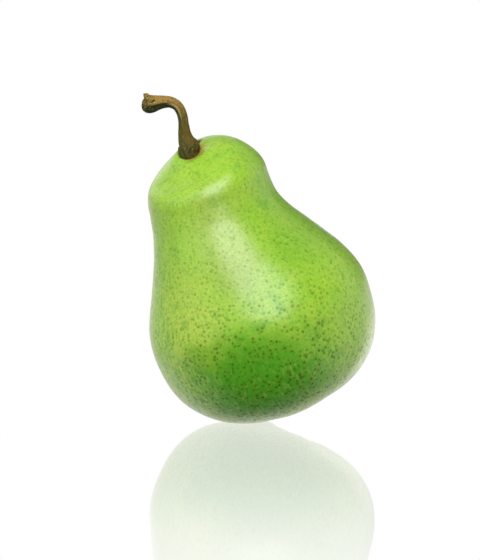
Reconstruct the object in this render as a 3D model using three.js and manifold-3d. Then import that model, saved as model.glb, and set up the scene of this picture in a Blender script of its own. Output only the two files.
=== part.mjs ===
import * as THREE from "three";
import { mergeVertices } from "three/addons/utils/BufferGeometryUtils.js";
import Module from "manifold-3d";

// A green pear in millimetres, +Z up, standing on a small flat spot with its neck leaning to the left.
// The origin is on the flat spot. The fruit and the calyx are shaped in the fruit's own frame, which has
// +Z from the blossom end to the stalk, +X to the right and +Y to the back, and is then tipped over.

const { smoothstep } = THREE.MathUtils;

// How the fruit stands: its lean to the left, its nod to the front, and the point of its own frame
// that comes to the origin, on the flat spot.
const lean = THREE.MathUtils.degToRad(20);
const nod = THREE.MathUtils.degToRad(10);
const restingPoint = new THREE.Vector3(-16.5, -7.5, 1.7);

// The skin's outline, of the fruit before it sways: a rounded belly, a neck and a rounded crown.
const basinRim = { radius: 9, lip: [2.9, 5.0], slope: [5.2, 2.4] };
const belly = { radius: 37.5, height: 33, roundness: 2.6, steps: 8 };
const neck = { radius: 21, height: 77, steps: 7 };
const top = { height: 94, roundness: 2.3, steps: 6, innerRadius: 8 };
const socketMouth = { radius: 4.2, height: 94 };
const skinRings = 46;
const skinSides = 60;
const pit = { radius: 2.6, top: 7.8, bevel: 0.5, straight: 1.1 };
const socketDepth = 5;

// What keeps the fruit from being a turned shape.
const neckSway = { shift: -2.4, height: 70, width: 17 };
const frontFill = { depth: 2.3, height: 62.5, width: 11 };
const crown = { shift: -3, riseRight: 0.2, riseBack: 0.2, from: 82, to: 94 };
const stalkSeat = { riseRight: -0.45, riseBack: 0.5, width: 5 };
const brow = { height: 0.5, radius: 7.2, width: 2.6 };
const shoulder = { depth: 1.1, radius: 12.5, width: 4.5 };
const bottom = { from: 4, to: 18 };
const bottomLobes = { count: 5, depth: 0.25, angle: 3.5, radius: 18, width: 9 };
const standingCheek = { right: -12.5, back: -6.2, depth: 1.6, width: 8 };
const basinRibs = { count: 10, depth: 0.25, phase: 0.8, radius: 6.5, width: 3.2 };
const unevenness = { share: 0.008, from: 12, to: 30, twists: [19, -14] };

// The stalk: its route from the mouth of its socket [right, back, up], and its radius along the way.
const stalkRoute = [
  [0.1, 0.1, 1.7],
  [-0.8, 0, 4],
  [-1.3, -0.1, 6.2],
  [-1.5, -0.3, 8.4],
  [-1.7, -0.5, 10.8],
  [-2.3, -0.7, 13.1],
  [-3.6, -0.9, 15.2],
  [-5.6, -1, 16.3],
  [-7.9, -1, 16.4],
  [-10.1, -1.1, 16.1],
  [-12, -1.3, 15.7],
  [-13.3, -1.5, 15.6],
  [-14.4, -1.7, 15.8],
];
const stalkRoot = 2.8;
const stalkGirth = [
  [0, 3.2],
  [2.4, 3.3],
  [4.2, 3.5],
  [6.4, 2.75],
  [8.3, 2.2],
  [10.6, 1.85],
  [13.1, 1.65],
  [16.8, 1.65],
  [19.8, 1.75],
  [22.1, 1.95],
  [24.1, 2.3],
  [25.9, 2.7],
  [27.3, 2.8],
  [28.3, 2.5],
  [28.9, 1.9],
];
const stalkSides = 20;
const stalkSteps = 34;
const stalkRidge = { height: 0.3, angle: -1.8, width: 0.4, leastRadius: 1.5 };
const stalkRibs = { count: 5, depth: 0.05, twist: 0.06, fadeIn: 3 };
const scar = { depth: 1.0, steps: 3, slant: 0.35, reach: 5 };
const spike = { length: 1.8, width: 0.5, flare: 0.5, from: 1.2, to: 3 };

// The dried calyx: half of its section, closed on the axis, and its five sepals.
const calyxSection = [
  [0, 4.1],
  [0.9, 4.0],
  [1.8, 4.3],
  [3.1, 3.0],
  [4.2, 2.0],
  [5.1, 1.2],
  [5.3, 1.7],
  [4.5, 2.7],
  [3.4, 3.8],
  [2.4, 4.7],
  [2.3, 6.0],
  [2.1, 7.3],
  [0, 7.3],
];
const sepals = { count: 5, notch: 0.42, bluntness: 0.7, from: 2.3, to: 4.2, curl: 0.3 };
const calyxSides = 50;

const floorBlock = { width: 120, depth: 20 };
const weldDistance = 1e-4;

const skinMaterial = new THREE.MeshStandardMaterial({ color: 0x8fbe44, roughness: 0.38, metalness: 0 });
const stalkMaterial = new THREE.MeshStandardMaterial({ color: 0x75602f, roughness: 0.75, metalness: 0 });
const calyxMaterial = new THREE.MeshStandardMaterial({ color: 0x4a3520, roughness: 0.85, metalness: 0 });

// A smooth hill of height 1 and the given half width.
function hill(x, centre, width) {
  return Math.exp(-(((x - centre) / width) ** 2));
}

function toVectors(points) {
  return points.map(([x, y]) => new THREE.Vector2(x, y));
}

// A turned body whose axis stands along +Z.
function turned(profile, sides) {
  return new THREE.LatheGeometry(profile, sides).rotateX(Math.PI / 2);
}

// Moves every vertex of a geometry by a function that changes the vector it is given.
function reshape(geometry, move) {
  const position = geometry.getAttribute("position");
  const vertex = new THREE.Vector3();
  for (let i = 0; i < position.count; i += 1) {
    vertex.fromBufferAttribute(position, i);
    move(vertex);
    position.setXYZ(i, vertex.x, vertex.y, vertex.z);
  }
  return geometry;
}

// ---- the fruit

// Points of the outline, [radius, height]: the basin, a superellipse to the belly, an easing to the neck,
// a superellipse over the crown and the mouth of the stalk's socket.
function skinOutline() {
  const points = [basinRim.lip, basinRim.slope];
  const bellyStart = Math.asin((basinRim.radius / belly.radius) ** (belly.roundness / 2));
  for (let i = 0; i <= belly.steps; i += 1) {
    const t = bellyStart + ((Math.PI / 2 - bellyStart) * i) / belly.steps;
    const radius = belly.radius * Math.sin(t) ** (2 / belly.roundness);
    const height = belly.height * (1 - Math.max(0, Math.cos(t)) ** (2 / belly.roundness));
    points.push([radius, height]);
  }
  for (let i = 1; i <= neck.steps; i += 1) {
    const height = belly.height + ((neck.height - belly.height) * i) / neck.steps;
    const narrowing = smoothstep(height, belly.height, neck.height);
    points.push([belly.radius - (belly.radius - neck.radius) * narrowing, height]);
  }
  const topEnd = Math.acos((top.innerRadius / neck.radius) ** (top.roundness / 2));
  for (let i = 1; i <= top.steps; i += 1) {
    const t = (topEnd * i) / top.steps;
    const radius = neck.radius * Math.cos(t) ** (2 / top.roundness);
    const height = neck.height + (top.height - neck.height) * Math.sin(t) ** (2 / top.roundness);
    points.push([radius, height]);
  }
  return [...points, [socketMouth.radius, socketMouth.height]];
}

function fruitProfile() {
  const skin = new THREE.SplineCurve(toVectors(skinOutline())).getSpacedPoints(skinRings);
  const { radius: socketRadius, height: mouthHeight } = socketMouth;
  const pitWall = [
    [0, pit.top],
    [pit.radius / 2, pit.top],
    [pit.radius, pit.top - pit.bevel],
    [pit.radius, pit.top - pit.bevel - pit.straight],
  ];
  const socket = [
    [socketRadius, mouthHeight - socketDepth / 2],
    [socketRadius, mouthHeight - socketDepth],
    [socketRadius / 2, mouthHeight - socketDepth],
    [0, mouthHeight - socketDepth],
  ];
  return [...toVectors(pitWall), ...skin, ...toVectors(socket)];
}

// Sways the neck and fills out its front, tilts the crown and the stalk's seat, rounds the crown's front,
// and swells the lobes, the ribs and the cheek that the fruit stands on.
function growFruit(v) {
  const angle = Math.atan2(v.y, v.x);
  const radius = Math.hypot(v.x, v.y);
  const height = v.z;
  const atCrown = smoothstep(height, crown.from, crown.to);
  const atFront = Math.max(0, -Math.sin(angle)) ** 2;
  const atBottom = 1 - smoothstep(height, bottom.from, bottom.to);
  const lobeWave = Math.cos(bottomLobes.count * (angle - bottomLobes.angle));
  const ribWave = Math.cos(basinRibs.count * angle + basinRibs.phase);
  const cheekReach = Math.hypot(v.x - standingCheek.right, v.y - standingCheek.back);
  const lobes = bottomLobes.depth * lobeWave * hill(radius, bottomLobes.radius, bottomLobes.width);
  const ribs = basinRibs.depth * ribWave * hill(radius, basinRibs.radius, basinRibs.width);
  const cheek = standingCheek.depth * hill(cheekReach, 0, standingCheek.width);
  const seatTilt = stalkSeat.riseRight * v.x + stalkSeat.riseBack * v.y;
  const seat = seatTilt * hill(radius, 0, stalkSeat.width);
  const hump = atFront * brow.height * hill(radius, brow.radius, brow.width);
  const slump = atFront * shoulder.depth * hill(radius, shoulder.radius, shoulder.width);
  const [twoTwist, threeTwist] = unevenness.twists;
  const wave = Math.sin(2 * angle + height / twoTwist) + Math.sin(3 * angle + height / threeTwist);
  const swelling = 1 + unevenness.share * wave * smoothstep(radius, unevenness.from, unevenness.to);
  const sway = neckSway.shift * hill(height, neckSway.height, neckSway.width);
  v.x = v.x * swelling + sway + crown.shift * atCrown;
  v.y = v.y * swelling - frontFill.depth * atFront * hill(height, frontFill.height, frontFill.width);
  const rise = crown.riseRight * v.x + crown.riseBack * v.y + seat + hump - slump;
  v.z += rise * atCrown - (lobes + ribs + cheek) * atBottom;
}

// ---- the stalk

function stalkCurve(rootDirection) {
  const root = rootDirection.clone().multiplyScalar(stalkRoot);
  const points = stalkRoute.map(([x, y, z]) => new THREE.Vector3(x, y, z));
  return new THREE.CatmullRomCurve3([root, new THREE.Vector3(), ...points]);
}

// The stalk as a straight turned body: distance along it on Z, closed by the hollow scar at its end.
function straightStalk(length) {
  const stretch = length / stalkGirth.at(-1)[0];
  const girth = new THREE.SplineCurve(stalkGirth.map(([s, r]) => new THREE.Vector2(s * stretch, r)));
  const side = girth.getSpacedPoints(stalkSteps).map((p) => new THREE.Vector2(p.y, p.x));
  const rim = side.at(-1);
  const hollow = [];
  for (let i = 1; i <= scar.steps; i += 1) {
    const inwards = i / scar.steps;
    const depth = scar.depth * Math.sin((inwards * Math.PI) / 2);
    hollow.push(new THREE.Vector2(rim.x * (1 - inwards), rim.y - depth));
  }
  const root = [new THREE.Vector2(0, 0), new THREE.Vector2(side[0].x / 2, 0)];
  return turned([...root, ...side, ...hollow], stalkSides);
}

// Ribs and one stronger ridge along the stalk, and a slanted end with a torn spike on its rim.
function carveStalk(v, length) {
  const angle = Math.atan2(v.y, v.x);
  const radius = Math.max(Math.hypot(v.x, v.y), stalkRidge.leastRadius);
  const free = smoothstep(v.z, stalkRoot, stalkRoot + stalkRibs.fadeIn);
  const end = smoothstep(v.z, length - scar.reach, length);
  const turn = Math.atan2(Math.sin(angle - stalkRidge.angle), Math.cos(angle - stalkRidge.angle));
  const ribs = stalkRibs.depth * Math.sin(stalkRibs.count * (angle + stalkRibs.twist * v.z));
  const ridge = (stalkRidge.height * hill(turn, 0, stalkRidge.width)) / radius;
  const scale = 1 + free * (ribs + ridge);
  v.x *= scale;
  v.y *= scale;
  const torn = spike.length * hill(angle, 0, spike.width) * smoothstep(v.x, spike.from, spike.to);
  v.z += end * (scar.slant * v.y + torn);
  v.x += end * torn * spike.flare;
}

// Bends the straight stalk along the curve. Local X stays on the outside of the bend, local Y at the back.
function bendAlong(curve, length) {
  const back = new THREE.Vector3(0, 1, 0);
  return (v) => {
    const along = THREE.MathUtils.clamp(v.z / length, 0, 1);
    const tangent = curve.getTangentAt(along);
    const outside = new THREE.Vector3().crossVectors(back, tangent).normalize();
    const behind = new THREE.Vector3().crossVectors(tangent, outside);
    const centre = curve.getPointAt(along).addScaledVector(tangent, v.z - along * length);
    v.copy(centre.addScaledVector(outside, v.x).addScaledVector(behind, v.y));
  };
}

function stalkGeometry(rootDirection) {
  const curve = stalkCurve(rootDirection);
  const length = curve.getLength();
  const straight = straightStalk(length);
  const carved = reshape(straight, (v) => carveStalk(v, length));
  return reshape(carved, bendAlong(curve, length));
}

// ---- the calyx

// Notches the rim of the cup into five sepals and curls their tips down.
function cutSepals(v) {
  const angle = Math.atan2(v.y, v.x);
  const radius = Math.hypot(v.x, v.y);
  const between = 0.5 - 0.5 * Math.cos(sepals.count * angle);
  const outer = smoothstep(radius, sepals.from, sepals.to);
  const scale = 1 - sepals.notch * between ** sepals.bluntness * outer;
  v.x *= scale;
  v.y *= scale;
  v.z -= sepals.curl * between * outer;
}

function calyxGeometry() {
  return reshape(turned(toVectors(calyxSection), calyxSides), cutSepals);
}

// ---- cutting the flat spot

const wasm = await Module();
wasm.setup();

function toSolid(geometry) {
  const bare = geometry.clone().deleteAttribute("normal").deleteAttribute("uv");
  const merged = mergeVertices(bare, weldDistance);
  const vertProperties = merged.getAttribute("position").array;
  const triVerts = new Uint32Array(merged.index.array);
  return new wasm.Manifold(new wasm.Mesh({ numProp: 3, vertProperties, triVerts }));
}

function toGeometry(solid) {
  const { vertProperties, triVerts } = solid.getMesh();
  const geometry = new THREE.BufferGeometry();
  geometry.setAttribute("position", new THREE.BufferAttribute(vertProperties, 3));
  geometry.setIndex(new THREE.BufferAttribute(triVerts, 1));
  geometry.computeVertexNormals();
  return geometry;
}

// Takes away what would reach below the floor; the floor is brought into the fruit's own frame.
function flattenedAtRest(geometry, partToFruit) {
  const block = new THREE.BoxGeometry(floorBlock.width, floorBlock.width, floorBlock.depth);
  const floor = block.translate(0, 0, -floorBlock.depth / 2).applyMatrix4(partToFruit);
  return toGeometry(toSolid(geometry).subtract(toSolid(floor)));
}

// ---- putting it together

function named(name, geometry, material) {
  const mesh = new THREE.Mesh(geometry, material);
  mesh.name = name;
  return mesh;
}

const pear = new THREE.Group();

const leaning = new THREE.Group();
leaning.rotation.set(nod, -lean, 0);
leaning.position.copy(restingPoint).negate().applyEuler(leaning.rotation);
leaning.updateMatrixWorld(true);
pear.add(leaning);

const wholeFruit = reshape(turned(fruitProfile(), skinSides), growFruit);
const fruit = named("fruit", flattenedAtRest(wholeFruit, leaning.matrixWorld.clone().invert()), skinMaterial);
const calyx = named("calyx", calyxGeometry(), calyxMaterial);
leaning.add(fruit, calyx);

// The stalk is shaped in the part's frame, from the mouth of its socket.
const mouth = new THREE.Vector3(0, 0, socketMouth.height);
growFruit(mouth);
const inSocket = new THREE.Vector3(0, 0, socketMouth.height - stalkRoot);
growFruit(inSocket);
const rootDirection = inSocket.sub(mouth).transformDirection(leaning.matrixWorld);
const stem = named("stem", stalkGeometry(rootDirection), stalkMaterial);
stem.position.copy(leaning.localToWorld(mouth));
pear.add(stem);

export default pear;
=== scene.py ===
# A green pear that stands on its small flat spot: skin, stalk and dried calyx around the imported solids.
# Shapes are worked out in millimetres and put down in metres at the end.

import math

import bpy
import numpy as np
from mathutils import Matrix, Vector, noise


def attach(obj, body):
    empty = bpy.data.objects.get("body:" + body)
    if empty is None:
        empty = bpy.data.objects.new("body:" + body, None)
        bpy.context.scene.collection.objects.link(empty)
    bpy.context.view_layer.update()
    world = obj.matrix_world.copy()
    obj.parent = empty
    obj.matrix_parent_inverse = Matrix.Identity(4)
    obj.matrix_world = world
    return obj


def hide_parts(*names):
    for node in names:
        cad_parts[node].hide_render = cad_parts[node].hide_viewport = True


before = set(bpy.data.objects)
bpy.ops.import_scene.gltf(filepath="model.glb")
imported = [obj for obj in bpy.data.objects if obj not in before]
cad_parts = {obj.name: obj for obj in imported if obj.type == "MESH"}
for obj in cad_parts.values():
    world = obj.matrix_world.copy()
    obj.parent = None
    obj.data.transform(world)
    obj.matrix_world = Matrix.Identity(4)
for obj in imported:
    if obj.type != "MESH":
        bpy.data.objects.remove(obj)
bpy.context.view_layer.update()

mm = 0.001
fullTurn = 2 * math.pi


# Small maths.

def hill(x, centre, width):
    return np.exp(-(((x - centre) / width) ** 2))


def smoothStep(x, start, end):
    t = np.clip((x - start) / (end - start), 0, 1)
    return t * t * (3 - 2 * t)


def wrapAngle(angle):
    return np.arctan2(np.sin(angle), np.cos(angle))


def smoothLine(points, count, free=False):
    # Evenly spaced points on the smooth line through the given ones. A free line bends more roundly.
    p = np.array(points, float)
    ends = (2 * p[0] - p[1], 2 * p[-1] - p[-2]) if free else (p[0], p[-1])
    p = np.vstack([ends[0], p, ends[1]])
    a, b, c, d = p[:-3], p[1:-2], p[2:-1], p[3:]
    leave = (c - a) / 2
    arrive = (d - b) / 2
    if free:
        steps = (b - a, c - b, d - c)
        r, s, t = (np.sqrt(np.linalg.norm(step, axis=1, keepdims=True)) for step in steps)
        leave = ((b - a) / r - (c - a) / (r + s) + (c - b) / s) * s
        arrive = ((c - b) / s - (d - b) / (s + t) + (d - c) / t) * s
    u = np.linspace(0, 1, 40, endpoint=False)[:, None, None]
    cubic = 2 * b - 2 * c + leave + arrive
    square = 3 * c - 3 * b - 2 * leave - arrive
    line = cubic * u**3 + square * u**2 + leave * u + b
    line = np.vstack([line.transpose(1, 0, 2).reshape(-1, p.shape[1]), p[-2:-1]])
    walked = np.concatenate([[0], np.cumsum(np.linalg.norm(np.diff(line, axis=0), axis=1))])
    wanted = np.linspace(0, walked[-1], count)
    return np.stack([np.interp(wanted, walked, line[:, k]) for k in range(p.shape[1])], 1)


def noiseAt(points, size, seed=0):  # smooth noise from -1 to 1, with lumps of the given size
    shifted = points.reshape(-1, 3) / size + 17.3 * seed
    return np.array([noise.noise(Vector(p)) for p in shifted]).reshape(points.shape[:-1])


def outwardOf(grid):  # the unit normals of rings of points
    along = np.gradient(grid, axis=0)
    around = np.roll(grid, -1, 1) - np.roll(grid, 1, 1)
    normal = np.cross(around, along)
    return normal / np.maximum(np.linalg.norm(normal, axis=2, keepdims=True), 1e-9)


def closedSkin(name, sheets):
    # Each sheet is rings of points, closed at both ends, and the named vectors that its points carry.
    points, faces, carried = [], [], {}
    for grid, vectors in sheets:
        rings, sides = grid.shape[:2]
        first = len(points)
        index = first + np.arange(rings * sides).reshape(rings, sides)
        beside = np.roll(index, -1, 1)
        low = first + rings * sides
        points += grid.reshape(-1, 3).tolist() + [grid[0].mean(0).tolist(), grid[-1].mean(0).tolist()]
        faces += np.stack([index[:-1], beside[:-1], beside[1:], index[1:]], 2).reshape(-1, 4).tolist()
        faces += [(low, b, a) for a, b in zip(index[0].tolist(), beside[0].tolist())]
        faces += [(low + 1, a, b) for a, b in zip(index[-1].tolist(), beside[-1].tolist())]
        for key, values in vectors.items():
            ends = [values[0].mean(0), values[-1].mean(0)]
            carried.setdefault(key, []).append(np.vstack([values.reshape(-1, 3), *ends]))
    mesh = bpy.data.meshes.new(name)
    mesh.from_pydata((np.array(points) * mm).tolist(), [], faces)
    mesh.shade_smooth()
    for key, values in carried.items():
        attribute = mesh.attributes.new(key, "FLOAT_VECTOR", "POINT")
        attribute.data.foreach_set("vector", np.vstack(values).ravel())
    mesh.update()
    piece = bpy.data.objects.new(name, mesh)
    bpy.context.collection.objects.link(piece)
    return piece


# Shader writing.

def srgb(red, green, blue):  # a colour as it looks on a screen, 0 to 255
    parts = [c / 255 for c in (red, green, blue)]
    return (*[p / 12.92 if p <= 0.04045 else ((p + 0.055) / 1.055) ** 2.4 for p in parts], 1.0)


class Wire:  # one socket, which can be used in Python arithmetic
    def __init__(self, tree, socket=None):
        self.tree = tree
        self.socket = socket

    def add(self, kind, settings={}, inputs={}, output=0):
        node = self.tree.nodes.new(kind)
        for key, value in settings.items():
            setattr(node, key, value)
        for key, value in inputs.items():
            if isinstance(value, Wire):
                self.tree.links.new(value.socket, node.inputs[key])
            else:
                node.inputs[key].default_value = value
        return Wire(self.tree, node.outputs[output] if len(node.outputs) else None)

    def sibling(self, output):  # another output of the same node
        return Wire(self.tree, self.socket.node.outputs[output])

    def math(self, operation, first, second=0.0):
        return self.add("ShaderNodeMath", {"operation": operation}, {0: first, 1: second})

    def __add__(self, other):
        return self.math("ADD", self, other)

    def __sub__(self, other):
        return self.math("SUBTRACT", self, other)

    def __rsub__(self, other):
        return self.math("SUBTRACT", other, self)

    def __mul__(self, other):
        return self.math("MULTIPLY", self, other)

    def __truediv__(self, other):
        return self.math("DIVIDE", self, other)

    __radd__ = __add__
    __rmul__ = __mul__

    def rise(self, start, end):  # from 0 at start to 1 at end, which may be the lower of the two
        return self.add("ShaderNodeMapRange", {"interpolation_type": "SMOOTHSTEP"},
                        {"Value": self, "From Min": start, "From Max": end})

    def near(self, centre, width):  # 1 at the centre, 0 a width away
        return self.math("ABSOLUTE", self - centre).rise(width, 0)

    def scaled(self, factors):
        return self.add("ShaderNodeVectorMath", {"operation": "MULTIPLY"}, {0: self, 1: factors})

    def measured(self, operation, other):  # one number from two vectors
        return self.add("ShaderNodeVectorMath", {"operation": operation}, {0: self, 1: other}, "Value")

    def farFrom(self, point):
        return self.measured("DISTANCE", point)

    def facing(self, direction):
        return self.measured("DOT_PRODUCT", direction)

    def parts(self):
        x = self.add("ShaderNodeSeparateXYZ", {}, {"Vector": self})
        return x, x.sibling(1), x.sibling(2)

    def grainy(self, scale, detail=2.0, roughness=0.5):  # noise from 0 to 1
        return self.add("ShaderNodeTexNoise", {},
                        {"Vector": self, "Scale": scale, "Detail": detail, "Roughness": roughness})

    def carried(self, name):  # a vector that the mesh carries
        return self.add("ShaderNodeAttribute", {"attribute_name": name}, {}, "Vector")

    def blend(self, mask, first, second, kind="MIX"):
        settings = {"data_type": "RGBA", "blend_type": kind}
        return self.add("ShaderNodeMix", settings, {0: mask, 6: first, 7: second}, 2)

    def covered(self, mask, over):  # this colour with another laid over it
        return self.blend(mask, self, over)

    def stained(self, mask, over):  # this colour darkened by another, as by a glaze
        return self.blend(mask, self, over, "MULTIPLY")

    def bump(self, strength=1.0):  # the normal of a surface with this height, in millimetres
        settings = {"Strength": strength, "Distance": mm, "Height": self}
        return self.add("ShaderNodeBump", {}, settings, "Normal")


def newFinish(name):
    material = bpy.data.materials.new(name)
    material.use_nodes = True
    material.node_tree.nodes.clear()
    return material, Wire(material.node_tree)


# How the fruit stands.

stance = {"lean": 20.0, "nod": 10.0, "restingPoint": (-16.5, -7.5, 1.7)}

tipOver = np.array(Matrix.Rotation(math.radians(stance["nod"]), 3, "X")
                   @ Matrix.Rotation(-math.radians(stance["lean"]), 3, "Y"))


def standing(points):  # from the fruit's own frame to the part's frame
    return (points - np.array(stance["restingPoint"])) @ tipOver.T


# The fruit.

fruit = {
    "basinRim": {"radius": 9, "inside": [(2.9, 5.0), (5.2, 2.4)]},
    "belly": {"radius": 37.5, "height": 33, "roundness": 2.6, "steps": 8},
    "neck": {"radius": 21, "height": 77, "steps": 7},
    "top": {"height": 94, "roundness": 2.3, "steps": 6, "innerRadius": 8},
    "mouth": (4.2, 94),  # radius and height
    "pitWall": [(0.5, 7.8), (1.3, 7.8), (2.2, 7.6), (2.6, 7.0), (2.7, 6.0)],
    "socketWall": [(3.4, 94.2), (3.15, 93.9), (3.0, 93.1), (2.9, 92.1), (2, 91.1), (0.8, 91.1)],
    "rings": 210,
    "sides": 256,
    "neckSway": {"shift": -2.4, "height": 70, "width": 17},
    "frontFill": {"depth": 2.3, "height": 62.5, "width": 11},
    "crown": {"shift": -3, "riseRight": 0.2, "riseBack": 0.2, "start": 82, "end": 94},
    "seat": {"riseRight": -0.45, "riseBack": 0.5, "width": 5},
    "brow": {"height": 0.5, "radius": 7.2, "width": 2.6},
    "shoulder": {"depth": 1.1, "radius": 12.5, "width": 4.5},
    "bottom": {"start": 4, "end": 18},
    "lobes": {"count": 5, "depth": 0.25, "angle": 3.5, "radius": 18, "width": 9},
    "cheek": {"right": -12.5, "back": -6.2, "depth": 1.6, "width": 8},
    "basinRibs": {"count": 10, "depth": 0.25, "phase": 0.8, "radius": 6.5, "width": 3.2},
    "unevenness": {"share": 0.008, "start": 12, "end": 30, "twists": (19, -14)},
    "lumps": [(11, 0.16, 1), (5, 0.05, 2)],  # size, height and seed of the soft unevenness of the skin
    "smoothMouth": (3, 8),  # the radii between which the lumps set in
    "wobble": {"height": 1.2, "size": 6, "seed": 3, "ofPuckers": 2, "ofFold": 0.1},
    "puckers": {"count": 23, "depth": 0.05, "radius": 4.8, "width": 1.3},
    "fold": {"angle": 0.85, "width": 0.16, "depth": 0.7, "radius": 5.0, "reach": 1.7},
    "restRounding": {"size": 0.3, "below": 6},
}


def skinOutline():
    # The basin, a rounded belly, an easing to the neck, a rounded crown and the mouth of the socket.
    rim, belly, neck, top = (fruit[key] for key in ("basinRim", "belly", "neck", "top"))
    start = math.asin((rim["radius"] / belly["radius"]) ** (belly["roundness"] / 2))
    t = np.linspace(start, math.pi / 2, belly["steps"] + 1)
    swell = 2 / belly["roundness"]
    below = np.stack([belly["radius"] * np.sin(t) ** swell,
                      belly["height"] * (1 - np.maximum(0, np.cos(t)) ** swell)], 1)
    height = np.linspace(belly["height"], neck["height"], neck["steps"] + 1)[1:]
    narrowing = smoothStep(height, belly["height"], neck["height"])
    waist = np.stack([belly["radius"] - (belly["radius"] - neck["radius"]) * narrowing, height], 1)
    end = math.acos((top["innerRadius"] / neck["radius"]) ** (top["roundness"] / 2))
    t = np.linspace(0, end, top["steps"] + 1)[1:]
    swell = 2 / top["roundness"]
    above = np.stack([neck["radius"] * np.cos(t) ** swell,
                      neck["height"] + (top["height"] - neck["height"]) * np.sin(t) ** swell], 1)
    return np.vstack([rim["inside"], below, waist, above, [fruit["mouth"]]])


def growFruit(p):
    x, y, z = p[..., 0], p[..., 1], p[..., 2]
    angle = np.arctan2(y, x)
    radius = np.hypot(x, y)
    sway, crown, seat, bottom = (fruit[key] for key in ("neckSway", "crown", "seat", "bottom"))
    brow, shoulder, lobes, ribs = (fruit[key] for key in ("brow", "shoulder", "lobes", "basinRibs"))
    cheek, fill, uneven = (fruit[key] for key in ("cheek", "frontFill", "unevenness"))
    atCrown = smoothStep(z, crown["start"], crown["end"])
    atBottom = 1 - smoothStep(z, bottom["start"], bottom["end"])
    atFront = np.maximum(0, -np.sin(angle)) ** 2
    lobeWave = lobes["depth"] * np.cos(lobes["count"] * (angle - lobes["angle"]))
    ribWave = ribs["depth"] * np.cos(ribs["count"] * angle + ribs["phase"])
    hang = lobeWave * hill(radius, lobes["radius"], lobes["width"])
    hang = hang + ribWave * hill(radius, ribs["radius"], ribs["width"])
    fromCheek = np.hypot(x - cheek["right"], y - cheek["back"])
    hang = hang + cheek["depth"] * hill(fromCheek, 0, cheek["width"])
    wave = np.sin(2 * angle + z / uneven["twists"][0]) + np.sin(3 * angle + z / uneven["twists"][1])
    swelling = 1 + uneven["share"] * wave * smoothStep(radius, uneven["start"], uneven["end"])
    seated = (seat["riseRight"] * x + seat["riseBack"] * y) * hill(radius, 0, seat["width"])
    hump = atFront * brow["height"] * hill(radius, brow["radius"], brow["width"])
    slump = atFront * shoulder["depth"] * hill(radius, shoulder["radius"], shoulder["width"])
    x = x * swelling + sway["shift"] * hill(z, sway["height"], sway["width"]) + crown["shift"] * atCrown
    y = y * swelling - fill["depth"] * atFront * hill(z, fill["height"], fill["width"])
    rise = crown["riseRight"] * x + crown["riseBack"] * y + seated + hump - slump
    z = z + rise * atCrown - hang * atBottom
    return np.stack([x, y, z], -1)


def skinRelief(turned, grown):
    # How far the skin stands out from the even shape: soft lumps, puckers and one fold at the stalk.
    angle = np.arctan2(turned[..., 1], turned[..., 0])
    radius = np.hypot(turned[..., 0], turned[..., 1])
    crown, puckers, fold, wobble = (fruit[key] for key in ("crown", "puckers", "fold", "wobble"))
    atCrown = smoothStep(turned[..., 2], crown["start"], crown["end"])
    relief = sum(height * noiseAt(grown, size, seed) for size, height, seed in fruit["lumps"])
    relief = relief * smoothStep(radius, *fruit["smoothMouth"])
    wander = wobble["height"] * noiseAt(grown, wobble["size"], wobble["seed"])
    wave = puckers["depth"] * np.cos(puckers["count"] * angle + wobble["ofPuckers"] * wander)
    relief += atCrown * wave * hill(radius, puckers["radius"], puckers["width"])
    bend = wrapAngle(angle - fold["angle"] - wobble["ofFold"] * wander)
    crease = fold["depth"] * hill(bend, 0, fold["width"]) * hill(radius, fold["radius"], fold["reach"])
    relief -= atCrown * crease
    return relief


def fruitSkin():
    skin = smoothLine(skinOutline(), fruit["rings"])
    profile = np.vstack([fruit["pitWall"], skin, fruit["socketWall"]])
    angle = np.arange(fruit["sides"]) * fullTurn / fruit["sides"]
    ring = np.stack([np.cos(angle), np.sin(angle)], 1)
    heights = np.repeat(profile[:, None, 1:], len(angle), 1)
    turned = np.concatenate([profile[:, None, :1] * ring[None], heights], 2)
    grown = growFruit(turned)
    grown = grown + outwardOf(grown) * skinRelief(turned, grown)[..., None]
    placed = standing(grown)
    rounding = fruit["restRounding"]
    height = placed[..., 2]
    pressed = (height + np.sqrt(height**2 + rounding["size"]**2)) / 2  # pressed flat where it stands
    placed[..., 2] = np.where(height < rounding["below"], pressed, height)
    walked = np.concatenate([[0], np.cumsum(np.linalg.norm(np.diff(profile, axis=0), axis=1))])
    walked = np.repeat(walked[:, None, None], len(angle), 1)
    grain = np.concatenate([np.repeat(ring[None], len(profile), 0), walked], 2)
    return closedSkin("pearSkin", [(placed, {"grown": turned, "grain": grain})])


skinLook = {
    "green": srgb(153, 193, 58), "crownGreen": srgb(155, 193, 60), "deepGreenAndShade": srgb(78, 154, 30),
    "yellow": srgb(182, 198, 74), "paleGreen": srgb(180, 206, 108), "mossGreen": srgb(98, 156, 42),
    "paintedSideLight": srgb(174, 214, 92), "highlightTone": srgb(160, 178, 88), "pore": srgb(222, 236, 212),
    "halo": srgb(146, 206, 130), "dotOlive": srgb(88, 112, 12), "dotBrown": srgb(132, 88, 18),
    "dotShade": srgb(150, 146, 110),
    "russet": srgb(150, 112, 50), "foldBrown": srgb(84, 56, 26), "basinBrown": srgb(120, 96, 50),
    "sunCheek": (-20, -28, 37), "highlightToneCentre": (2, -24, 32), "paintedShadeCentre": (-4.5, -34, 17.5),
    "russetSide": -0.35, "dotSpacing": 1.42, "dotSize": 0.26, "dotSpread": 0.2, "haloReach": 0.85,
    "roughness": 0.34, "waxWeight": 0.65, "waxRoughness": 0.27,
}


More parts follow.
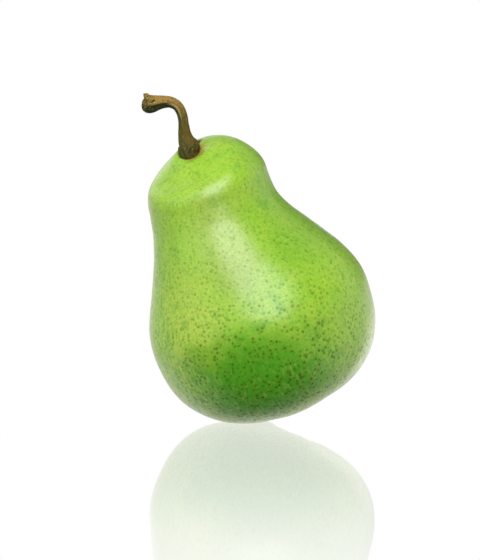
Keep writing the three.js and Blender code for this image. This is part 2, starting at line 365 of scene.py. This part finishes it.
def skinFinish():
    look = skinLook
    material, paint = newFinish("pearSkin")
    grown = paint.carried("grown")
    grain = paint.carried("grain")
    right, _, up = grown.parts()
    wander = grown.grainy(0.07, 3)
    patches = grown.grainy(0.2, 3, 0.6)
    peel = grown.grainy(1.5, 2, 0.6)
    strokes = grain.scaled((36, 36, 0.3)).grainy(1.0, 3, 0.6)

    # green, more vivid at the crown and yellower on the cheek that had the sun, in soft patches
    colour = paint.blend((up + 20 * (wander - 0.5)).rise(70, 92), look["green"], look["crownGreen"])
    sunCheek = grown.scaled((1, 1, 0.8)).farFrom(look["sunCheek"]) + 16 * (wander - 0.5)
    colour = colour.covered(0.6 * sunCheek.rise(20, 3), look["yellow"])
    colour = colour.covered(0.3 * wander.rise(0.5, 0.75), look["yellow"])
    colour = colour.covered(0.42 * patches.rise(0.53, 0.72), look["yellow"])
    colour = colour.covered(0.45 * patches.rise(0.47, 0.28), look["mossGreen"])

    # painted shade: moss green laid over the upper right slope
    rightSlopeShade = right.rise(6, 24) * up.rise(44, 56)
    colour = colour.covered(0.3 * rightSlopeShade, look["mossGreen"])
    # painted highlight: a paler, creamier patch on the front where the softbox's highlight falls
    highlightTone = grown.scaled((1.4, 1, 0.5)).farFrom(look["highlightToneCentre"]) + 5 * (wander - 0.5)
    colour = colour.covered(0.6 * highlightTone.rise(18, 6), look["highlightTone"])

    # painted light as a paler green on the left side, painted shade as a deeper green low on the front
    # (partly the skin's own tone), fine pores all over and streaks low down
    side = right.rise(-22, -34) * up.rise(75, 55)
    paintedShadeDistance = grown.scaled((0.76, 1, 1)).farFrom(look["paintedShadeCentre"])
    paintedShadeDistance = paintedShadeDistance + 8 * (wander - 0.5) + 10 * (patches - 0.5)
    # painted light: the left side laid over with a paler, brighter green
    colour = colour.covered(0.35 * side, look["paintedSideLight"])
    # painted shade: a deeper green low on the front, partly the skin's own tone, fading out at the very
    # bottom
    colour = colour.covered(0.95 * paintedShadeDistance.rise(29, 9) * up.rise(2, 12), look["deepGreenAndShade"])
    colour = colour.stained(peel.rise(0.72, 0.3), look["pore"])
    low = up.rise(40, 12) + right.rise(-14, -30) * up.rise(75, 55)
    colour = colour.covered((0.15 + 0.35 * low) * strokes.rise(0.5, 0.68), look["deepGreenAndShade"])
    colour = colour.covered(0.35 * low * strokes.rise(0.5, 0.3), look["paleGreen"])

    # dots, each with its own size and colour in a soft darker halo
    shaken = grown.add("ShaderNodeVectorMath", {"operation": "ADD"},
                       {0: grown, 1: grown.grainy(1.5, 1).sibling("Color").scaled((0.25, 0.25, 0.25))})
    cell = shaken.add("ShaderNodeTexVoronoi", {}, {"Vector": shaken, "Scale": 1 / look["dotSpacing"]})
    chance, kind, tone = cell.sibling("Color").parts()
    reach = cell * look["dotSpacing"]
    bold = up.rise(88, 40) * (0.5 + 0.5 * paintedShadeDistance.rise(40, 20))
    core = (reach / (look["dotSize"] + look["dotSpread"] * chance)).rise(1.6, 0.2)
    core = core * (0.28 + 0.36 * bold + 0.3 * up.rise(30, 14))
    halo = reach.rise(look["haloReach"], 0.15) * (0.25 + 0.6 * tone) * (0.4 + 0.6 * bold)
    colour = colour.stained(halo, look["halo"])
    brownness = (kind + 0.3 * up.rise(60, 25)).rise(0.55, 0.85)
    colour = colour.covered(core * (0.35 + 0.45 * tone), look["dotOlive"])
    colour = colour.covered(0.6 * core * brownness, look["dotBrown"])
    # painted shade: the dots darkened more towards the painted shade low on the front
    colour = colour.stained(0.8 * core * paintedShadeDistance.rise(30, 16), look["dotShade"])

    # russet where the stalk grows in and round the calyx, dark brown right at the socket's mouth and along
    # the fold
    mouth = grown.farFrom((0, 0, fruit["mouth"][1]))
    rough = grown.grainy(1.1, 4, 0.65)
    rightSide = grain.facing((math.cos(look["russetSide"]), math.sin(look["russetSide"]), 0))
    rays = grain.scaled((9, 9, 0.5)).grainy(1.0, 3, 0.6)
    russet = (mouth + 7 * (rough - 0.5)).rise(7.6, 4.6)
    russet = russet * rightSide.rise(0.3, 0.95) * rays.rise(0.3, 0.6)
    colour = colour.covered(0.8 * russet, look["russet"])
    rim = mouth.rise(4.9, 4.1) * (rough + 0.25 * rightSide).rise(0.45, 0.7)
    colour = colour.covered(0.85 * rim, look["russet"])
    inside = (mouth + 1.2 * (rough - 0.5) - 0.35 * rightSide).rise(4.0, 3.6)
    colour = colour.covered(0.9 * inside, look["foldBrown"])
    foldAngle = fruit["fold"]["angle"]
    foldSide = grain.facing((math.cos(foldAngle), math.sin(foldAngle), 0))
    colour = colour.covered(foldSide.rise(0.985, 0.998) * mouth.rise(8, 6.5), look["foldBrown"])
    basin = (grown.farFrom((0, 0, 4)) + 5 * (rough - 0.5)).rise(8, 4)
    colour = colour.covered(0.85 * basin, look["basinBrown"])

    height = peel * 0.045 + patches * 0.12 + core * 0.02 + strokes * 0.04 * low + rough * russet * 0.08
    roughness = look["roughness"] + 0.35 * core + 0.25 * russet + 0.25 * basin + 0.1 * (peel - 0.5)
    shader = paint.add("ShaderNodeBsdfPrincipled", {}, {
        "Base Color": colour, "Roughness": roughness, "Normal": height.bump(), "IOR": 1.3,
        "Coat Weight": look["waxWeight"] * (1 - core), "Coat Roughness": look["waxRoughness"],
        "Coat IOR": 1.5,
        "Subsurface Weight": 0.12, "Subsurface Radius": (0.7, 1.0, 0.3), "Subsurface Scale": 2.5 * mm})
    paint.add("ShaderNodeOutputMaterial", {}, {"Surface": shader})
    return material


skin = fruitSkin()
skin.data.materials.append(skinFinish())
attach(skin, "root")
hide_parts("fruit")
print("skin grown")


# The stalk.

stalk = {
    "route": [(0.1, 0.1, 1.7), (-0.8, 0, 4), (-1.3, -0.1, 6.2), (-1.5, -0.3, 8.4), (-1.7, -0.5, 10.8),
              (-2.3, -0.7, 13.1), (-3.6, -0.9, 15.2), (-5.6, -1, 16.3), (-7.9, -1, 16.4),
              (-10.1, -1.1, 16.1), (-12, -1.3, 15.7), (-13.3, -1.5, 15.6), (-14.4, -1.7, 15.8)],
    "root": 2.8,
    "girth": [(0, 3.2), (2.4, 3.3), (4.2, 3.5), (6.4, 2.75), (8.3, 2.2), (10.6, 1.85), (13.1, 1.65),
              (16.8, 1.65), (19.8, 1.75), (22.1, 1.95), (24.1, 2.3), (25.9, 2.7), (27.3, 2.8),
              (28.3, 2.5), (28.9, 1.9)],
    "rings": 300,
    "sides": 112,
    "ribs": {"count": 5, "depth": 0.05, "twist": 0.06, "fadeIn": 3},
    "ridge": {"height": 0.34, "angle": -1.8, "width": 0.34, "turn": 0.2, "start": 20, "end": 27},
    # across, along, height, seed
    "wrinkles": [(2.2, 9, 0.13, 4), (5.5, 4.5, 0.1, 5), (13, 2.6, 0.06, 6)],
    "fullRelief": 1.5,  # a thinner stalk has less relief
    "scar": {"depth": 1.0, "rings": 14, "slant": 0.35, "reach": 5, "rough": 0.25, "grain": 0.8, "seed": 7},
    "spike": {"length": 1.8, "width": 0.4, "flare": 0.5, "start": 1.2, "end": 3},
    "slit": {"angle": -1.12, "width": 0.15, "depth": 0.6, "start": 25.6, "full": 26.8, "turn": 0.12,
             "middle": 27},
    "lip": {"angle": -0.78, "width": 0.2, "height": 0.3, "place": 28.4, "reach": 1.1},
}


def stalkSkin():
    mouthHeight = fruit["mouth"][1]
    axis = np.array([[0.0, 0.0, mouthHeight], [0.0, 0.0, mouthHeight - stalk["root"]]])
    mouth, inSocket = standing(growFruit(axis))
    rootWay = (inSocket - mouth) / np.linalg.norm(inSocket - mouth)
    route = smoothLine([rootWay * stalk["root"], (0, 0, 0), *stalk["route"]], 1200, free=True)
    length = np.linalg.norm(np.diff(route, axis=0), axis=1).sum()
    walked = np.linspace(0, length, len(route))
    tangents = np.gradient(route, walked, axis=0)

    girth = smoothLine(np.array(stalk["girth"]) * (length / stalk["girth"][-1][0], 1), 400)
    along = np.linspace(0, length, stalk["rings"])
    radius = np.interp(along, girth[:, 0], girth[:, 1])
    scar = stalk["scar"]
    inwards = np.arange(1, scar["rings"]) / scar["rings"]
    along = np.concatenate([along, length - scar["depth"] * np.sin(inwards * math.pi / 2)])[:, None]
    radius = np.concatenate([radius, radius[-1] * (1 - inwards)])[:, None]
    onScar = np.concatenate([np.zeros(stalk["rings"]), inwards])[:, None]
    angle = wrapAngle(np.arange(stalk["sides"])[None] * fullTurn / stalk["sides"])

    ribs, ridge, slit, lip, spike = (stalk[key] for key in ("ribs", "ridge", "slit", "lip", "spike"))
    free = smoothStep(along, stalk["root"], stalk["root"] + ribs["fadeIn"])
    relief = radius * free * ribs["depth"] * np.sin(ribs["count"] * (angle + ribs["twist"] * along))
    crest = ridge["angle"] + ridge["turn"] * smoothStep(along, ridge["start"], ridge["end"])
    relief = relief + free * ridge["height"] * hill(wrapAngle(angle - crest), 0, ridge["width"])
    for across, lengthwise, height, seed in stalk["wrinkles"]:
        place = np.stack([np.cos(angle) * across + 0 * along, np.sin(angle) * across + 0 * along,
                          along / lengthwise + 0 * angle], -1)
        relief = relief + height * noiseAt(place, 1, seed)
    fromSlit = wrapAngle(angle - slit["angle"] + slit["turn"] * (along - slit["middle"]))
    inSlit = smoothStep(along, slit["start"], slit["full"])
    relief = relief - slit["depth"] * inSlit * hill(fromSlit, 0, slit["width"])
    fromLip = wrapAngle(angle - lip["angle"])
    onLip = hill(along, lip["place"], lip["reach"]) * hill(fromLip, 0, lip["width"])
    relief = relief + lip["height"] * onLip
    size = radius + relief * (1 - onScar) * np.minimum(radius / stalk["fullRelief"], 1)

    x = size * np.cos(angle)
    y = size * np.sin(angle)
    end = smoothStep(along, length - scar["reach"], length)
    torn = spike["length"] * hill(angle, 0, spike["width"]) * smoothStep(x, spike["start"], spike["end"])
    bark = noiseAt(np.stack([x, y, 0 * x], -1), scar["grain"], scar["seed"])
    z = along + end * (scar["slant"] * y + torn) + scar["rough"] * onScar * bark
    x = x + end * torn * spike["flare"]

    share = np.clip(z / length, 0, 1) * length
    centre = np.stack([np.interp(share, walked, route[:, k]) for k in range(3)], -1)
    tangent = np.stack([np.interp(share, walked, tangents[:, k]) for k in range(3)], -1)
    tangent /= np.linalg.norm(tangent, axis=2, keepdims=True)
    outside = np.cross(np.array([0.0, 1.0, 0.0]), tangent)
    outside /= np.linalg.norm(outside, axis=2, keepdims=True)
    behind = np.cross(tangent, outside)
    placed = mouth + centre + tangent * (z - share)[..., None]
    placed = placed + outside * x[..., None] + behind * y[..., None]
    grain = np.stack([np.cos(angle) + 0 * z, np.sin(angle) + 0 * z, along + 0 * z], -1)
    depth = np.stack([onScar + 0 * z, relief, radius + 0 * z], -1)
    return closedSkin("pearStalk", [(placed, {"grain": grain, "depth": depth})])


stalkLook = {
    "tan": srgb(152, 120, 50), "brown": srgb(94, 76, 12),
    "olive": srgb(74, 74, 14), "darkOlive": srgb(30, 38, 6),
    "crest": srgb(196, 168, 104), "redStreak": srgb(122, 80, 34), "speck": srgb(178, 152, 78),
    "footGreen": srgb(84, 112, 40), "grooveShade": srgb(18, 20, 8), "scarWood": srgb(112, 98, 54),
}


def stalkFinish():
    look = stalkLook
    material, paint = newFinish("pearStalk")
    grain = paint.carried("grain")
    depth = paint.carried("depth")
    outer, _, along = grain.parts()
    onScar, relief, _ = depth.parts()
    streaks = grain.scaled((7, 7, 0.45)).grainy(1.0, 4, 0.6)
    fine = grain.scaled((26, 26, 1.6)).grainy(1.0, 3, 0.6)
    mottle = grain.scaled((3, 3, 0.9)).grainy(1.0, 3, 0.6)

    upper = (outer + 0.25 + 0.7 * (mottle - 0.5)).rise(-0.25, 0.3)
    colour = paint.blend(upper, look["olive"], look["brown"])
    # tan on the outer side of the upper stretch, partly the stalk's own colour and partly painted light
    tanAndLitTop = along.rise(15, 21) * (outer + 0.4 * (streaks - 0.5)).rise(-0.2, 0.25)
    colour = colour.covered(tanAndLitTop, look["tan"])
    # painted shade: dark olive on the inner side of the upper stretch, partly the stalk's own colour
    colour = colour.covered(0.8 * along.rise(15, 19) * outer.rise(0.15, -0.25), look["darkOlive"])
    colour = colour.covered(0.7 * streaks.rise(0.53, 0.7) * along.rise(24, 14), look["redStreak"])
    colour = colour.covered(0.8 * streaks.rise(0.47, 0.32), look["darkOlive"])
    colour = colour.covered(0.75 * fine.rise(0.48, 0.34), look["darkOlive"])
    # pale flecks on the outer side of the stalk above its foot
    outerFlecks = fine.rise(0.52, 0.66) * along.rise(9, 17) * outer.rise(-0.1, 0.3)
    colour = colour.covered(0.6 * outerFlecks, look["crest"])
    # the ridge tops painted pale, partly the stalk's own colour and partly painted highlight
    colour = colour.covered(0.6 * relief.rise(0.24, 0.4) * along.rise(12, 18), look["crest"])
    # painted shade: near black in the deepest grooves and the slit
    colour = colour.covered(0.85 * relief.rise(-0.14, -0.34), look["grooveShade"])
    # darker towards the torn end, partly painted shade under the knob
    colour = colour.covered(0.5 * along.rise(26, 28.5) * mottle.rise(0.35, 0.6), look["darkOlive"])
    foot = along.rise(7.5, 4.2)
    colour = colour.covered(0.75 * foot * mottle.rise(0.35, 0.6), look["darkOlive"])
    colour = colour.covered(0.5 * foot * fine.rise(0.55, 0.7), look["footGreen"])
    speck = paint.add("ShaderNodeTexVoronoi", {}, {"Vector": grain.scaled((9, 9, 1.3)), "Scale": 1.0})
    chosen = speck.sibling("Color").parts()[0].rise(0.7, 0.8)
    colour = colour.covered(0.8 * speck.rise(0.3, 0.14) * chosen, look["speck"])
    colour = colour.covered(0.8 * onScar.rise(0.0, 0.5) * fine.rise(0.3, 0.6), look["scarWood"])

    height = streaks * 0.22 + fine * 0.14 + mottle * 0.06
    shader = paint.add("ShaderNodeBsdfPrincipled", {}, {
        "Base Color": colour, "Roughness": 0.55 + 0.25 * fine, "Normal": height.bump(), "IOR": 1.35})
    paint.add("ShaderNodeOutputMaterial", {}, {"Surface": shader})
    return material


stem = stalkSkin()
stem.data.materials.append(stalkFinish())
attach(stem, "root")
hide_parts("stem")
print("stalk grown")


# The dried calyx, which hangs in the basin at the bottom.

calyx = {
    "section": [(0.9, 4.0), (1.8, 4.3), (3.1, 3.0), (4.2, 2.0), (5.1, 1.2), (5.3, 1.7), (4.5, 2.7),
                (3.4, 3.8), (2.4, 4.7), (2.3, 6.0), (2.1, 7.3)],
    "rings": 90,
    "sides": 250,
    "sepals": {"count": 5, "notch": 0.5, "bluntness": 0.55, "start": 2.1, "end": 4.2, "curl": 0.3,
               "vein": 0.14, "veinWidth": 0.03},
    "crumple": {"size": 1.6, "seed": 8, "sideways": 0.04, "height": 0.16},
    "threads": {"count": 15, "spread": 1.5, "length": 2.1, "radius": 0.13, "foot": 4.5, "taper": 0.55,
                "rings": 9, "sides": 7, "seed": 4},
}


def calyxSkin():
    sepals, threads, fold = calyx["sepals"], calyx["threads"], calyx["crumple"]
    profile = smoothLine(calyx["section"], calyx["rings"])
    angle = np.arange(calyx["sides"]) * fullTurn / calyx["sides"]
    radius = profile[:, :1] + 0 * angle
    z = profile[:, 1:] + 0 * angle
    angle = angle + 0 * z
    between = 0.5 - 0.5 * np.cos(sepals["count"] * angle)
    outer = smoothStep(radius, sepals["start"], sepals["end"])
    thin = 1 - sepals["notch"] * between ** sepals["bluntness"] * outer
    place = np.stack([np.cos(angle) * radius, np.sin(angle) * radius, z], -1)
    crumple = noiseAt(place, fold["size"], fold["seed"]) * outer
    radius = radius * thin * (1 + fold["sideways"] * crumple)
    vein = sepals["vein"] * hill(between, 0, sepals["veinWidth"])
    z = z - (sepals["curl"] * between + vein) * outer + fold["height"] * crumple
    star = np.stack([np.cos(angle) * radius, np.sin(angle) * radius, z], -1)
    sheets = [(standing(star), {"grain": np.stack([np.cos(angle), np.sin(angle), radius], -1)})]

    draw = np.random.default_rng(threads["seed"])
    t = np.linspace(0, 1, threads["rings"])[:, None]
    side = np.arange(threads["sides"]) * fullTurn / threads["sides"]
    for _ in range(threads["count"]):
        least, most = (0, 0.3, -0.5, 0.7), (fullTurn, threads["spread"], 0.9, 1.0)
        way, out, lean, reach = draw.uniform(least, most)
        bend = out + lean * t**2
        thick = threads["radius"] * (1 - threads["taper"] * t)
        x = math.cos(way) * bend + thick * np.cos(side)
        y = math.sin(way) * bend - thick * np.sin(side)
        z = threads["foot"] - threads["length"] * reach * t + 0 * side
        grid = np.stack([x, y, z], -1)
        sheets.append((standing(grid), {"grain": np.stack([x * 0 + 1, 0 * x, x * 0 + 1.2], -1)}))
    return closedSkin("pearCalyx", sheets)


calyxLook = {"brown": srgb(98, 70, 40), "dark": srgb(44, 30, 18), "dry": srgb(150, 122, 78)}


def calyxFinish():
    look = calyxLook
    material, paint = newFinish("pearCalyx")
    grain = paint.carried("grain")
    fibres = grain.scaled((9, 9, 0.9)).grainy(1.0, 4, 0.6)
    out = grain.parts()[2]
    colour = paint.blend(fibres.rise(0.35, 0.65), look["dark"], look["brown"])
    colour = colour.covered(0.5 * out.rise(2.6, 4.6) * fibres.rise(0.4, 0.7), look["dry"])
    shader = paint.add("ShaderNodeBsdfPrincipled", {}, {
        "Base Color": colour, "Roughness": 0.7 + 0.15 * fibres, "Normal": (fibres * 0.2).bump(0.8)})
    paint.add("ShaderNodeOutputMaterial", {}, {"Surface": shader})
    return material


driedCalyx = calyxSkin()
driedCalyx.data.materials.append(calyxFinish())
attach(driedCalyx, "root")
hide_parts("calyx")
print("calyx grown")


# The studio: a pale floor with a faint mirror image, a softbox over the camera, white all round behind.

studio = {
    "floorWidth": 12.0, "mirrored": (0.365, 0.325, 0.395), "mirrorRoughness": 0.03,
    "nearShare": 0.64, "nearFade": (0.09, 0.3), "farFade": (0.26, 0.42), "frontFade": (0.14, 0.05),
    "boxHeight": 40.0, "boxDistance": 0.9, "boxWidth": 0.7, "boxTall": 1.08, "middle": (0, 0, 0.05),
    "boxGlow": 6.15, "boxTop": 0.35, "boxFade": (1.0, 0.45),
    "frontGlow": 0.03, "backGlow": 0.92, "leftShade": 0.42, "skyTint": (1, 1, 0.88, 1),
    "wallAhead": (0.93, 0.965), "wallFoot": (-0.06, 0), "wallTop": (0.28, 0.22), "wallSide": (0.2, 0.12),
    "cards": [((-0.85, -0.5, 0.3), 0.72, 0.93, 1.2),  # way, where it ends, where it is full, glow
              ((0.92, -0.3, -0.25), 0.75, 0.95, 0.52),
              ((-0.72, 0.3, -0.62), 0.85, 0.97, 0.25),
              ((0.52, 0.84, -0.16), 0.93, 0.985, 0.8),
              ((-0.38, 0.82, 0.42), 0.93, 0.985, 0.4)],
    "flags": [((0.42, 0.84, 0.3), 0.88, 0.97, 0.85),
              ((-0.18, 0.78, 0.6), 0.95, 0.985, 0.7)],
}


def squarePlate(name, width, tall):
    mesh = bpy.data.meshes.new(name)
    x, y = width / 2, tall / 2
    mesh.from_pydata([(-x, -y, 0), (x, -y, 0), (x, y, 0), (-x, y, 0)], [], [(0, 1, 2, 3)])
    plate = bpy.data.objects.new(name, mesh)
    bpy.context.collection.objects.link(plate)
    return plate


def floorFinish():
    material, paint = newFinish("paleFloor")
    mirrored = studio["mirrored"]
    rest = (*[1 - share for share in mirrored], 1)
    white = paint.add("ShaderNodeEmission", {}, {"Color": rest, "Strength": 1.0})
    mirror = paint.add("ShaderNodeBsdfGlossy", {},
                       {"Color": (*mirrored, 1), "Roughness": studio["mirrorRoughness"]})
    both = paint.add("ShaderNodeAddShader", {}, {0: white, 1: mirror})
    plain = paint.add("ShaderNodeEmission", {}, {"Color": (1, 1, 1, 1), "Strength": 1.0})
    spot = paint.add("ShaderNodeTexCoord", {}, {}, "Object")
    away = spot.farFrom((0, 0, 0))
    share = studio["nearShare"]
    near = 1 - (share * away.rise(*studio["nearFade"]) + (1 - share) * away.rise(*studio["farFade"]))
    fade = 1 - near * spot.parts()[1].rise(*studio["frontFade"])
    faded = paint.add("ShaderNodeMixShader", {}, {0: fade, 1: both, 2: plain})
    paint.add("ShaderNodeOutputMaterial", {}, {"Surface": faded})
    return material


def softboxFinish():
    material, paint = newFinish("softbox")
    high = paint.add("ShaderNodeTexCoord", {}, {}, "Generated").parts()[1]
    dim = studio["boxTop"]
    glow = studio["boxGlow"] * (dim + (1 - dim) * high.rise(*studio["boxFade"]))
    light = paint.add("ShaderNodeEmission", {}, {"Color": (1, 1, 1, 1), "Strength": glow})
    paint.add("ShaderNodeOutputMaterial", {}, {"Surface": light})
    return material


def studioSky():
    world = bpy.data.worlds.new("studio")
    bpy.context.scene.world = world
    world.use_nodes = True
    world.node_tree.nodes.clear()
    sky = Wire(world.node_tree)
    direction = sky.add("ShaderNodeTexCoord", {}, {}, "Generated")
    across, back, up = direction.parts()
    behind = back.rise(-0.35, 0.2) * up.rise(-1.25, -0.6) * (0.3 + 0.7 * up.rise(0.9, 0.3))
    behind = behind * (1 - studio["leftShade"] * across.rise(-0.35, -0.85))
    glow = studio["frontGlow"] + studio["backGlow"] * behind
    for way, edge, core, strength in studio["flags"]:
        glow = glow * (1 - strength * direction.facing(Vector(way).normalized()).rise(edge, core))
    for way, edge, core, strength in studio["cards"]:
        glow = glow + strength * direction.facing(Vector(way).normalized()).rise(edge, core)
    # white where the floor mirrors it
    edge, full = studio["wallSide"]
    wall = back.rise(*studio["wallAhead"]) * up.rise(*studio["wallFoot"]) * up.rise(*studio["wallTop"])
    wall = wall * across.rise(edge, full) * across.rise(-edge, -full)
    glow = glow * (1 - wall) + wall
    seen = sky.add("ShaderNodeLightPath", {}, {}, "Is Camera Ray")
    tint = sky.blend(seen + (1 - seen) * wall, studio["skyTint"], (1, 1, 1, 1))
    light = sky.add("ShaderNodeBackground", {}, {"Color": tint, "Strength": seen + (1 - seen) * glow})
    sky.add("ShaderNodeOutputWorld", {}, {"Surface": light})


floor = squarePlate("floor", studio["floorWidth"], studio["floorWidth"])
floor.data.materials.append(floorFinish())
floor.visible_diffuse = False  # the floor is seen, but neither lights nor shades the fruit
floor.visible_glossy = False
floor.visible_shadow = False

softbox = squarePlate("softbox", studio["boxWidth"], studio["boxTall"])
softbox.data.materials.append(softboxFinish())
softbox.visible_camera = False
boxHeight = math.radians(studio["boxHeight"])
boxWay = Vector((0, -math.cos(boxHeight), math.sin(boxHeight)))
softbox.location = Vector(studio["middle"]) + boxWay * studio["boxDistance"]
softbox.rotation_euler = boxWay.to_track_quat("Z", "Y").to_euler()
studioSky()

view = {"elevation": 5.0, "distance": 1.0, "aim": (-0.002, 0, 0.0475), "tall": 560 / 3 * mm,
        "sensor": 36}

lens = bpy.data.cameras.new("camera")
lens.sensor_width = view["sensor"]
lens.lens = lens.sensor_width * view["distance"] / view["tall"]
camera = bpy.data.objects.new("camera", lens)
bpy.context.collection.objects.link(camera)
tilt = math.radians(view["elevation"])
camera.location = Vector(view["aim"]) + Vector((0, -math.cos(tilt), math.sin(tilt))) * view["distance"]
camera.rotation_euler = (math.pi / 2 - tilt, 0, 0)
bpy.context.scene.camera = camera
bpy.context.scene.view_settings.view_transform = "Standard"
print("studio set up")
